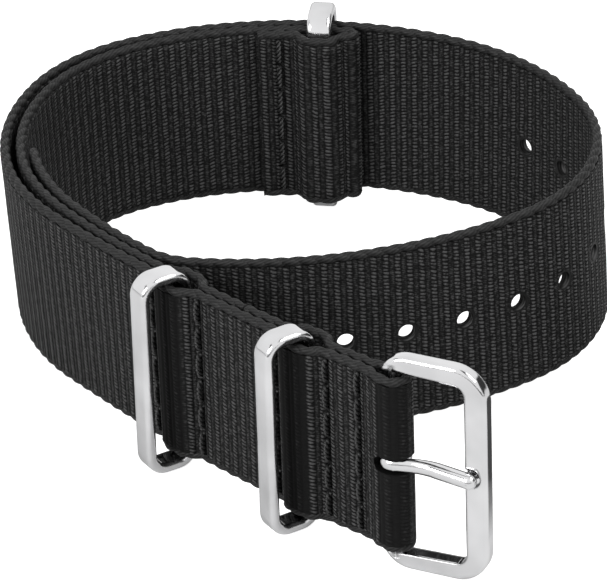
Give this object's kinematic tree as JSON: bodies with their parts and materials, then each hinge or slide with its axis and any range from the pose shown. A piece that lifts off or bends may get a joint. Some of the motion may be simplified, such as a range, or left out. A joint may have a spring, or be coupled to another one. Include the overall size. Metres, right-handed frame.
{
  "type": "nato watch strap",
  "caption": "Woven watch strap coiled on its edge, with pin buckle, keeper rings in sewn pockets, an inner strap with an end ring, and punched holes.",
  "frame": {"origin": "middle of the plan, on the surface that the strap stands on", "axes": "+Z along the strap's width, up; +Y away from the viewer, from the buckle towards the back of the coil"},
  "size_m": [0.069, 0.091, 0.0268],
  "materials": {
    "webbing": "ribbed woven nylon, black",
    "polished_steel": "polished",
    "thread": "glossy black polyester thread"
  },
  "bodies": {
    "strap": {"main_strap": "webbing", "short_strap": "webbing", "buckle_seam_top_thread": "thread", "buckle_seam_bobbin_thread": "thread", "keeper_2_front_seam_top_thread": "thread", "keeper_2_front_seam_bobbin_thread": "thread", "keeper_2_rear_seam_top_thread": "thread", "keeper_2_rear_seam_bobbin_thread": "thread", "keeper_1_front_seam_top_thread": "thread", "keeper_1_front_seam_bobbin_thread": "thread", "keeper_1_rear_seam_top_thread": "thread", "keeper_1_rear_seam_bobbin_thread": "thread", "end_ring_seam_top_thread": "thread", "end_ring_seam_bobbin_thread": "thread"},
    "buckle": {"buckle_frame": "polished_steel", "buckle_pin": "polished_steel"},
    "tongue": {"buckle_tongue": "polished_steel"},
    "keeper_1_ring": {"keeper_1": "polished_steel"},
    "keeper_2_ring": {"keeper_2": "polished_steel"},
    "end_ring_ring": {"end_ring": "polished_steel"}
  },
  "joints": [
    {"name": "buckle_swing", "type": "hinge", "parent": "strap", "child": "buckle", "pos_m": [0.00882, -0.03941, 0.0134], "axis": [0, 0, 1], "range_deg": [-124, 96]},
    {"name": "tongue_lift", "type": "hinge", "parent": "buckle", "child": "tongue", "pos_m": [0.00882, -0.03941, 0.0134], "axis": [0, 0, -1], "range_deg": [0, 100]},
    {"name": "keeper_1_tilt", "type": "hinge", "parent": "strap", "child": "keeper_1_ring", "pos_m": [-0.01406, -0.01749, 0.0134], "axis": [0, 0, 1], "range_deg": [-7, 29]},
    {"name": "keeper_2_tilt", "type": "hinge", "parent": "strap", "child": "keeper_2_ring", "pos_m": [-0.00053, -0.03118, 0.0134], "axis": [0, 0, 1], "range_deg": [-3, 33]},
    {"name": "end_ring_tilt", "type": "hinge", "parent": "strap", "child": "end_ring_ring", "pos_m": [0.00221, 0.03939, 0.0134], "axis": [0, 0, 1], "range_deg": [-12, 12]}
  ]
}
